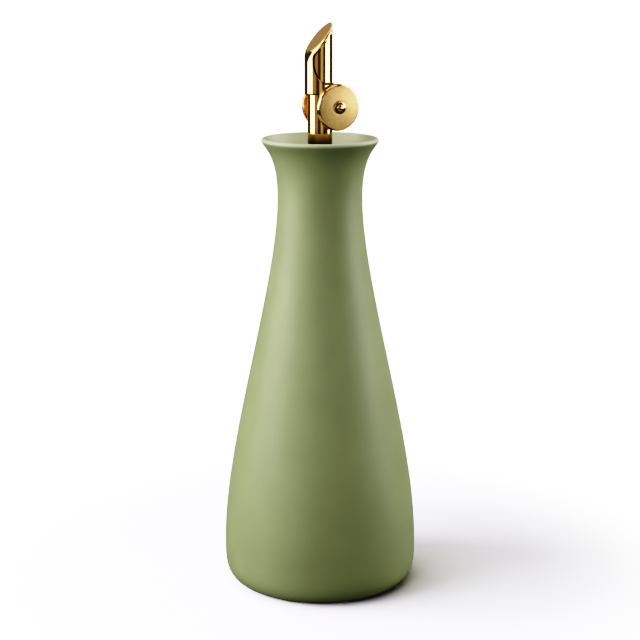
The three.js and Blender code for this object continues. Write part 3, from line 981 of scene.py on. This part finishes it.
def add_world(studio):
    """White to the camera; to all else a dim room with a pale backdrop high behind."""
    world = bpy.data.worlds.new("studio")
    world.use_nodes = True
    tree = world.node_tree
    toward = add_node(tree, "ShaderNodeTexCoord").outputs["Generated"]
    front = from_axis(studio, 0.0)
    facing = add_node(tree, "ShaderNodeVectorMath", {0: toward, 1: front}, operation="DOT_PRODUCT")
    behind = ramp(tree, facing.outputs["Value"], -0.6, -0.72)
    backdrop = ramp(tree, height_of(tree, toward), 0.2, 0.34, 0.0, studio.backdrop)
    mirrored = maths(tree, "ADD", maths(tree, "MULTIPLY", behind, backdrop), studio.room)
    seen = add_node(tree, "ShaderNodeLightPath").outputs["Is Camera Ray"]
    radiance = maths(tree, "MAXIMUM", mirrored, maths(tree, "MULTIPLY", seen, studio.white))
    background = tree.nodes["Background"]
    tree.links.new(radiance, background.inputs["Strength"])
    background.inputs["Color"].default_value = (1.0, 1.0, 1.0, 1.0)
    bpy.context.scene.world = world


def floor_material(studio):
    """Pale floor: white with a soft shadow to the camera, dim to everything that mirrors it."""
    material = bpy.data.materials.new("pale floor")
    material.use_nodes = True
    tree = material.node_tree
    tree.nodes.remove(tree.nodes["Principled BSDF"])
    reach = reach_of(tree, add_node(tree, "ShaderNodeTexCoord").outputs["Object"])
    # Near the bottle the floor takes light as if it leaned to the left, so that the boxes on the right
    # don't fill the shadow. Its colour is over 1, so that the lit floor turns white, and a little cool,
    # because the bottle throws green light on it.
    left, most = from_axis(studio, radians(98)), ramp(tree, reach, 0.6, 0.2, 0.0, 1.2)
    lean = add_node(tree, "ShaderNodeVectorMath", {0: left, 3: most}, operation="SCALE").outputs[0]
    leaning = add_node(tree, "ShaderNodeVectorMath", {0: lean, 1: UPWARD}, operation="ADD").outputs[0]
    facing = add_node(tree, "ShaderNodeVectorMath", {0: leaning}, operation="NORMALIZE").outputs[0]
    cool_white, grey = (2.03, 1.94, 2.16), (0.08, 0.08, 0.08)
    lit = add_node(tree, "ShaderNodeBsdfDiffuse", {"Color": opaque(cool_white), "Normal": facing})
    white = add_node(tree, "ShaderNodeEmission", {"Strength": studio.white})
    dim = add_node(tree, "ShaderNodeBsdfDiffuse", {"Color": opaque(grey)})
    far = ramp(tree, reach, 0.1, 0.21)
    shown = add_node(tree, "ShaderNodeMixShader", {0: far, 1: lit.outputs[0], 2: white.outputs[0]})
    seen = add_node(tree, "ShaderNodeLightPath").outputs["Is Camera Ray"]
    both = add_node(tree, "ShaderNodeMixShader", {0: seen, 1: dim.outputs[0], 2: shown.outputs[0]})
    tree.links.new(both.outputs[0], tree.nodes["Material Output"].inputs["Surface"])
    return material


def add_floor(studio):
    bm = bmesh.new()
    bmesh.ops.create_circle(bm, cap_ends=True, segments=96, radius=studio.floor_radius)
    floor = bpy.data.objects.new("floor", mesh_from(bm, "floor"))
    floor.data.materials.append(floor_material(studio))
    bpy.context.scene.collection.objects.link(floor)


def add_camera(studio):
    place = studio.camera_distance * from_axis(studio, 0.0) + at(0, studio.camera_height)
    lens = bpy.data.cameras.new("camera")
    lens.lens = studio.lens
    camera = bpy.data.objects.new("camera", lens)
    camera.location = place
    camera.rotation_euler = (at(0, studio.aim_height) - place).to_track_quat("-Z", "Y").to_euler()
    bpy.context.scene.collection.objects.link(camera)
    bpy.context.scene.camera = camera


# Points of the picture's curve, as brightness in the scene and in the picture; at the brightest it is white
FILM_BRIGHTEST = 3.0
FILM_CURVE = ((0.05, 0.012), (0.15, 0.135), (0.25, 0.3), (0.4, 0.53), (0.6, 0.75), (1, 0.92), (1.5, 1))


def set_look(scene):
    """Gives the picture the contrast of a product photo: deep darks and soft whites."""
    view = scene.view_settings
    view.view_transform = "Standard"
    view.use_curve_mapping = True
    mapping = view.curve_mapping
    mapping.clip_max_x = FILM_BRIGHTEST
    tone = mapping.curves[3]
    tone.points[-1].location = (FILM_BRIGHTEST, 1)
    for place, value in FILM_CURVE:
        tone.points.new(place, value)
    for point in tone.points:
        point.handle_type = "AUTO_CLAMPED"
    mapping.update()


# Operators

SIDES = {"near": -1, "far": 1}


class DISPENSER_OT_bottle(bpy.types.Operator):
    """Add the glazed bottle"""
    bl_idname = "dispenser.bottle"
    bl_label = "Bottle"

    def execute(self, context):
        bottle = context.scene.dispenser_bottle
        skin, glaze = bottle_skin(bottle), glaze_finish(bottle)
        add_piece("bottle_glazed", skin, "dispenser", ["bottle"], glaze)
        return {"FINISHED"}


class DISPENSER_OT_stopper(bpy.types.Operator):
    """Add the rubber stopper"""
    bl_idname = "dispenser.stopper"
    bl_label = "Stopper"

    def execute(self, context):
        bottle, pourer = context.scene.dispenser_bottle, context.scene.dispenser_pourer
        skin, rubber = stopper_skin(bottle, pourer), rubber_finish(pourer.rubber)
        add_piece("stopper_ribbed", skin, "dispenser", ["stopper"], rubber)
        return {"FINISHED"}


class DISPENSER_OT_tube(bpy.types.Operator):
    """Add the pour tube with its collar and hinge pin"""
    bl_idname = "dispenser.tube"
    bl_label = "Pour tube"

    def execute(self, context):
        pourer, flap = context.scene.dispenser_pourer, context.scene.dispenser_flap
        # Below a little over the bottle's top, the tube's gold is painted dark as painted shade
        skin, painted_dark_foot = tube_skin(pourer, flap), BOTTLE_HIGH.z + 5.5 * MM
        gold = gold_finish("polished gold tube", pourer.gold, pourer.polish, grains=1500, painted_dark_below=painted_dark_foot)
        add_piece("pour_tube_polished", skin, "dispenser", ["pour_tube"], gold)
        return {"FINISHED"}


class DISPENSER_OT_flap(bpy.types.Operator):
    """Add the sheet metal flap"""
    bl_idname = "dispenser.flap"
    bl_label = "Flap"

    def execute(self, context):
        scene, pourer = context.scene, context.scene.dispenser_pourer
        skin = flap_skin(scene.dispenser_flap, pourer, scene.dispenser_weights)
        gold = gold_finish("polished gold flap", pourer.gold, pourer.polish, grains=1100)
        add_piece("flap_sheet", skin, "flap", ["flap"], gold)
        return {"FINISHED"}


class DISPENSER_OT_weights(bpy.types.Operator):
    """Add the two weights"""
    bl_idname = "dispenser.weights"
    bl_label = "Weights"

    def execute(self, context):
        weights = context.scene.dispenser_weights
        satin = satin_finish(weights)
        for side, hand in SIDES.items():
            node, skin = f"weight_{side}", weight_skin(weights, hand)
            add_piece(f"{node}_disc", skin, "flap", [node], satin)
        return {"FINISHED"}


class DISPENSER_OT_rivets(bpy.types.Operator):
    """Add the two rivets"""
    bl_idname = "dispenser.rivets"
    bl_label = "Rivets"

    def execute(self, context):
        weights = context.scene.dispenser_weights
        polish = context.scene.dispenser_pourer.polish
        gold = gold_finish("polished gold rivet", weights.gold, polish, grains=2400)
        for side, hand in SIDES.items():
            node, skin = f"rivet_{side}", rivet_skin(weights, hand)
            add_piece(f"{node}_head", skin, "flap", [node], gold)
        return {"FINISHED"}


class DISPENSER_OT_studio(bpy.types.Operator):
    """Add the floor, the soft lights and the camera"""
    bl_idname = "dispenser.studio"
    bl_label = "Studio"

    def execute(self, context):
        studio = context.scene.dispenser_studio
        add_floor(studio)
        add_world(studio)
        add_lights(studio)
        add_camera(studio)
        set_look(context.scene)
        return {"FINISHED"}


class DISPENSER_PT_sidebar(bpy.types.Panel):
    """Buttons and sizes of the oil dispenser"""
    bl_idname = "DISPENSER_PT_sidebar"
    bl_label = "Oil dispenser"
    bl_space_type = "VIEW_3D"
    bl_region_type = "UI"
    bl_category = "Dispenser"

    def draw(self, context):
        for operator in OPERATORS:
            self.layout.operator(operator.bl_idname)
        for group in SETTINGS:
            box = self.layout.box()
            box.label(text=group.replace("dispenser_", "").title())
            settings = getattr(context.scene, group)
            for name in settings.bl_rna.properties.keys():
                if name not in {"rna_type", "name"}:
                    box.prop(settings, name)


SETTINGS = {
    "dispenser_bottle": BottleSettings,
    "dispenser_pourer": PourerSettings,
    "dispenser_flap": FlapSettings,
    "dispenser_weights": WeightSettings,
    "dispenser_studio": StudioSettings,
}
OPERATORS = (
    DISPENSER_OT_bottle,
    DISPENSER_OT_stopper,
    DISPENSER_OT_tube,
    DISPENSER_OT_flap,
    DISPENSER_OT_weights,
    DISPENSER_OT_rivets,
    DISPENSER_OT_studio,
)


def register():
    for kind in (*SETTINGS.values(), *OPERATORS, DISPENSER_PT_sidebar):
        bpy.utils.register_class(kind)
    for name, group in SETTINGS.items():
        setattr(bpy.types.Scene, name, PointerProperty(type=group))


def unregister():
    for name in SETTINGS:
        delattr(bpy.types.Scene, name)
    for kind in (DISPENSER_PT_sidebar, *OPERATORS, *SETTINGS.values()):
        bpy.utils.unregister_class(kind)


def main():
    register()
    bpy.ops.dispenser.bottle()
    bpy.ops.dispenser.stopper()
    bpy.ops.dispenser.tube()
    bpy.ops.dispenser.flap()
    bpy.ops.dispenser.weights()
    bpy.ops.dispenser.rivets()
    bpy.ops.dispenser.studio()


if __name__ == "__main__":
    main()
